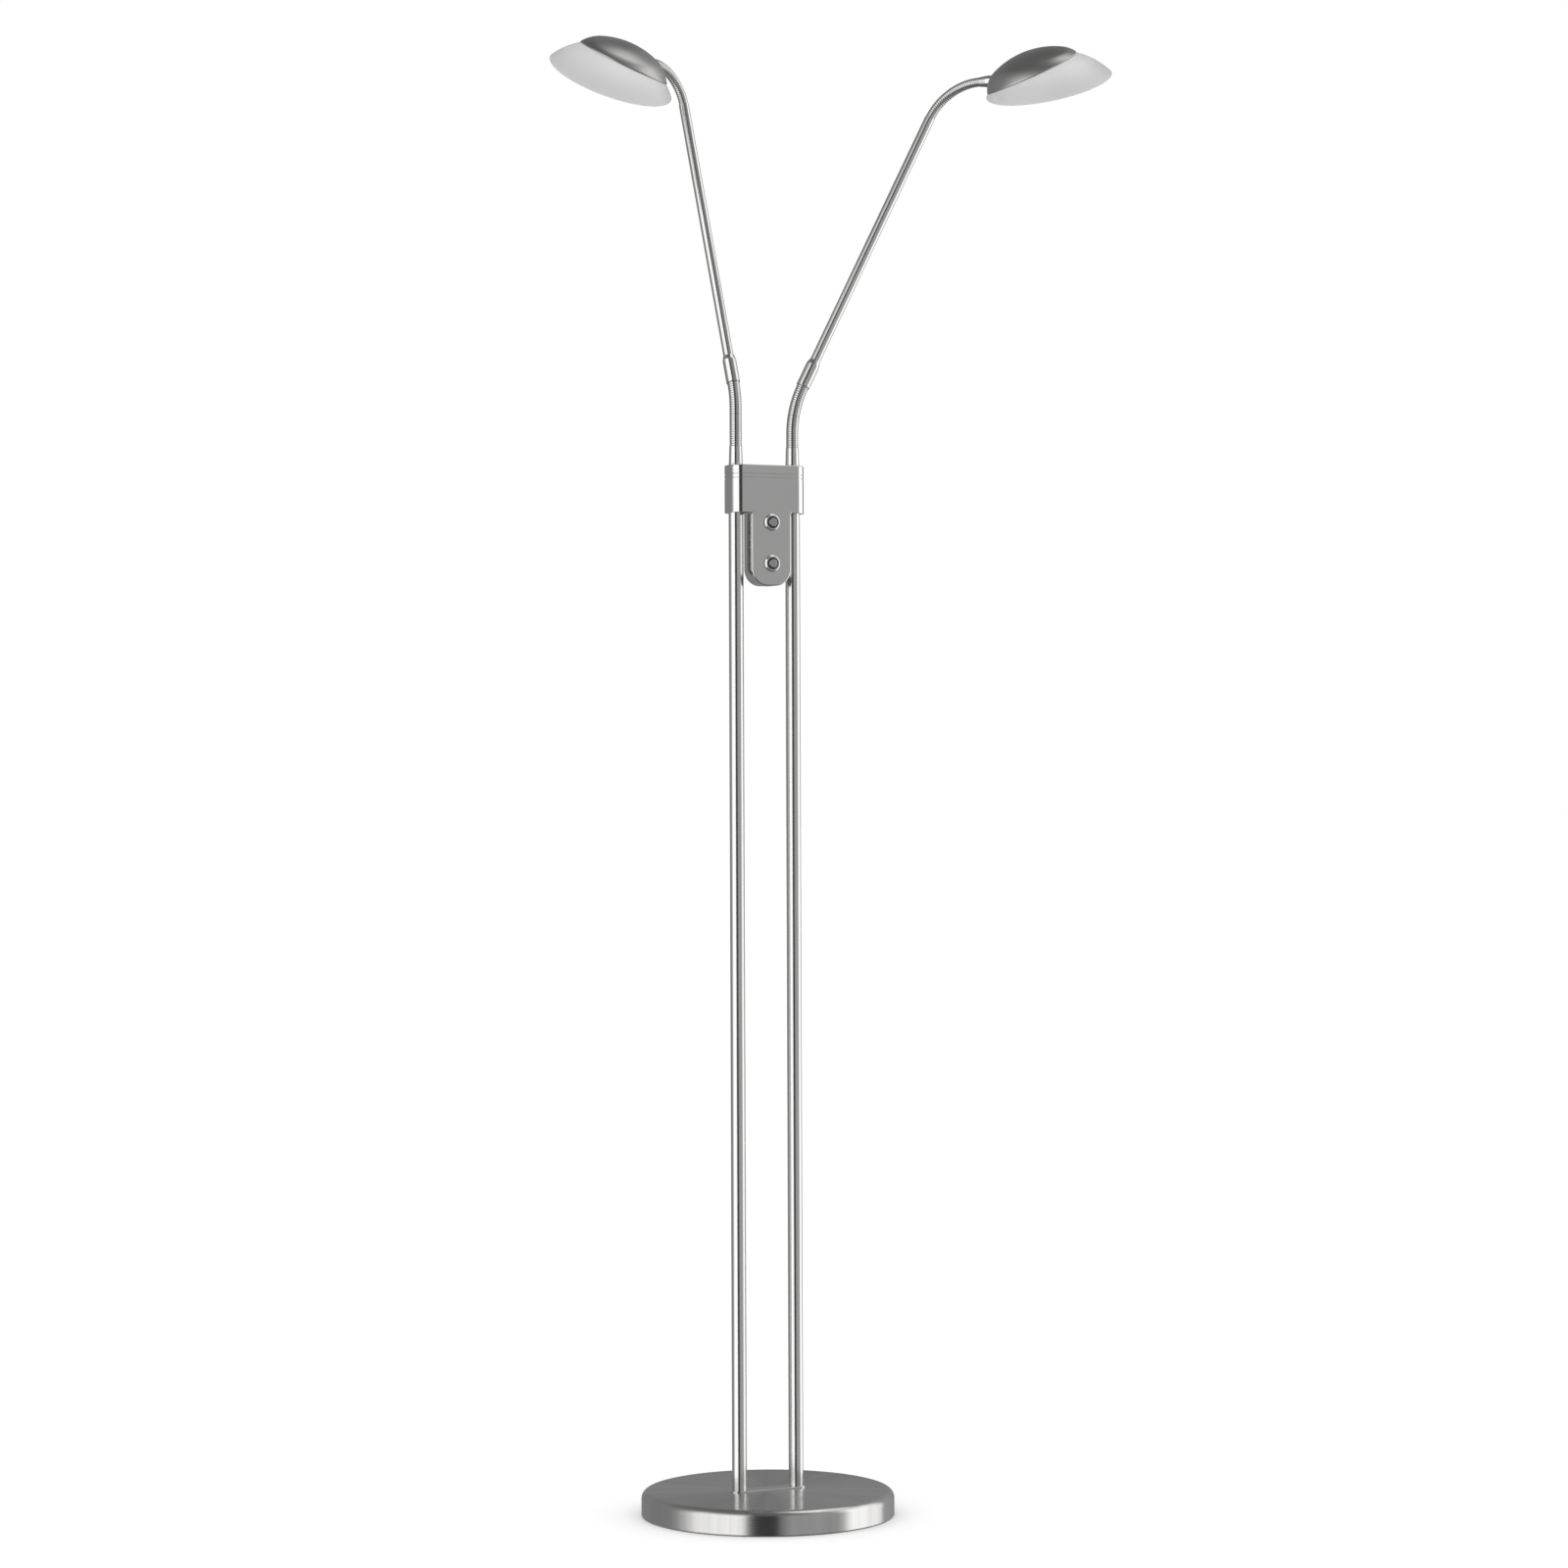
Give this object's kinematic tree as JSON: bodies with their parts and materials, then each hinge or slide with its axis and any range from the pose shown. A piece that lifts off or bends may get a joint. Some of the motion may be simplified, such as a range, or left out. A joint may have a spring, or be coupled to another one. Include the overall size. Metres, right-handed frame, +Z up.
{
  "type": "floor_lamp",
  "caption": "Two-arm LED reading floor lamp in brushed nickel with satin glass shades, gooseneck joints, twin poles, a control box with push buttons and a round weighted base",
  "frame": {"origin": "on the floor under the middle of the round base", "axes": "+Z up along the poles; +X from the left pole to the right pole; -Y is the front, where the control box and its buttons face"},
  "size_m": [0.5417, 0.3052, 1.5105],
  "materials": {
    "satin_nickel": "brushed nickel plate with strong soft reflections",
    "brushed_grey_metal": "darker brushed nickel on the spun lamp heads",
    "polished_chrome": "bright turned bezel",
    "grey_button": "smooth metallised push button",
    "frosted_glass": "satin white glass",
    "white_diffuser": "opal diffuser",
    "led_phosphor": "yellow light-emitting chips, unlit",
    "circuit_board": "white solder mask",
    "black_plastic": "moulded switch and component bodies",
    "black_rubber": "soft matt floor pad and cord bushing",
    "plain_steel": "zinc-plated fasteners",
    "plain_aluminium": "plain heat-sink plate",
    "raw_iron": "unfinished cast weight"
  },
  "bodies": {
    "stand": {"base_cover": "satin_nickel", "base_weight": "raw_iron", "base_pad": "black_rubber", "cord_gland": "black_rubber", "foot_plate": "satin_nickel", "left_pole": "satin_nickel", "right_pole": "satin_nickel", "pole_studs": "plain_steel", "pole_nuts": "plain_steel", "pole_washers": "plain_steel", "collar_housing": "satin_nickel", "box_cover": "satin_nickel", "cover_screws": "plain_steel", "collar_grub_screws": "plain_steel", "dimmer_board": "circuit_board", "board_components": "black_plastic", "upper_switch": "black_plastic", "upper_bezel": "polished_chrome", "lower_switch": "black_plastic", "lower_bezel": "polished_chrome", "left_lower_ferrule": "satin_nickel", "left_lower_flex_a": "satin_nickel", "right_lower_ferrule": "satin_nickel", "right_lower_flex_a": "satin_nickel"},
    "upper_push": {"upper_button": "grey_button"},
    "lower_push": {"lower_button": "grey_button"},
    "left_neck": {"left_lower_flex_b": "satin_nickel"},
    "left_arm": {"left_arm_sleeve": "satin_nickel", "left_arm_tube": "satin_nickel", "left_arm_tip": "plain_steel", "left_upper_flex_a": "satin_nickel"},
    "left_head_neck": {"left_upper_flex_b": "satin_nickel"},
    "left_head": {"left_neck_ferrule": "satin_nickel", "left_head_cap": "brushed_grey_metal", "left_cap_bridge": "plain_steel", "left_glass_dish": "frosted_glass", "left_led_tray": "plain_aluminium", "left_led_board": "circuit_board", "left_led_chips": "led_phosphor", "left_diffuser": "white_diffuser", "left_clamp_screws": "plain_steel"},
    "right_neck": {"right_lower_flex_b": "satin_nickel"},
    "right_arm": {"right_arm_sleeve": "satin_nickel", "right_arm_tube": "satin_nickel", "right_arm_tip": "plain_steel", "right_upper_flex_a": "satin_nickel"},
    "right_head_neck": {"right_upper_flex_b": "satin_nickel"},
    "right_head": {"right_neck_ferrule": "satin_nickel", "right_head_cap": "brushed_grey_metal", "right_cap_bridge": "plain_steel", "right_glass_dish": "frosted_glass", "right_led_tray": "plain_aluminium", "right_led_board": "circuit_board", "right_led_chips": "led_phosphor", "right_diffuser": "white_diffuser", "right_clamp_screws": "plain_steel"}
  },
  "joints": [
    {"name": "left_arm_tilt", "type": "hinge", "parent": "stand", "child": "left_neck", "pos_m": [-0.032, 0, 1.10525], "axis": [0, 1, 0], "range_deg": [-40, 2], "deforming": ["left_lower_flex_a"]},
    {"name": "left_arm_swing", "type": "hinge", "parent": "left_neck", "child": "left_arm", "pos_m": [-0.03204, 0.00073, 1.13772], "axis": [1, 0, 0], "range_deg": [-20, 45], "deforming": ["left_lower_flex_b"]},
    {"name": "left_head_nod", "type": "hinge", "parent": "left_arm", "child": "left_head_neck", "pos_m": [-0.04134, 0.11527, 1.46877], "axis": [0.4995, -0.8128, 0.2997], "range_deg": [-50, 12], "deforming": ["left_upper_flex_a"]},
    {"name": "left_head_turn", "type": "hinge", "parent": "left_head_neck", "child": "left_head", "pos_m": [-0.06562, 0.10823, 1.49014], "axis": [0.1231, -0.5169, 0.8471], "range_deg": [-30, 30], "deforming": ["left_upper_flex_b"]},
    {"name": "right_arm_tilt", "type": "hinge", "parent": "stand", "child": "right_neck", "pos_m": [0.03204, 0, 1.10525], "axis": [0, 1, 0], "range_deg": [-15, 38], "deforming": ["right_lower_flex_a"]},
    {"name": "right_arm_swing", "type": "hinge", "parent": "right_neck", "child": "right_arm", "pos_m": [0.03761, -0.00037, 1.13714], "axis": [1, 0, 0], "range_deg": [-40, 25], "deforming": ["right_lower_flex_b"]},
    {"name": "right_head_nod", "type": "hinge", "parent": "right_arm", "child": "right_head_neck", "pos_m": [0.19644, -0.01312, 1.44971], "axis": [0.7773, 0.5031, -0.3777], "range_deg": [-35, 40], "deforming": ["right_upper_flex_a"]},
    {"name": "right_head_turn", "type": "hinge", "parent": "right_head_neck", "child": "right_head", "pos_m": [0.21763, -0.0319, 1.4683], "axis": [-0.3486, -0.2484, 0.9038], "range_deg": [-30, 30], "deforming": ["right_upper_flex_b"]},
    {"name": "upper_press", "type": "slide", "parent": "stand", "child": "upper_push", "axis": [0, 1, 0], "range_m": [0, 0.0015], "stiffness_N_per_m": 800},
    {"name": "lower_press", "type": "slide", "parent": "stand", "child": "lower_push", "axis": [0, 1, 0], "range_m": [0, 0.0015], "stiffness_N_per_m": 800}
  ]
}
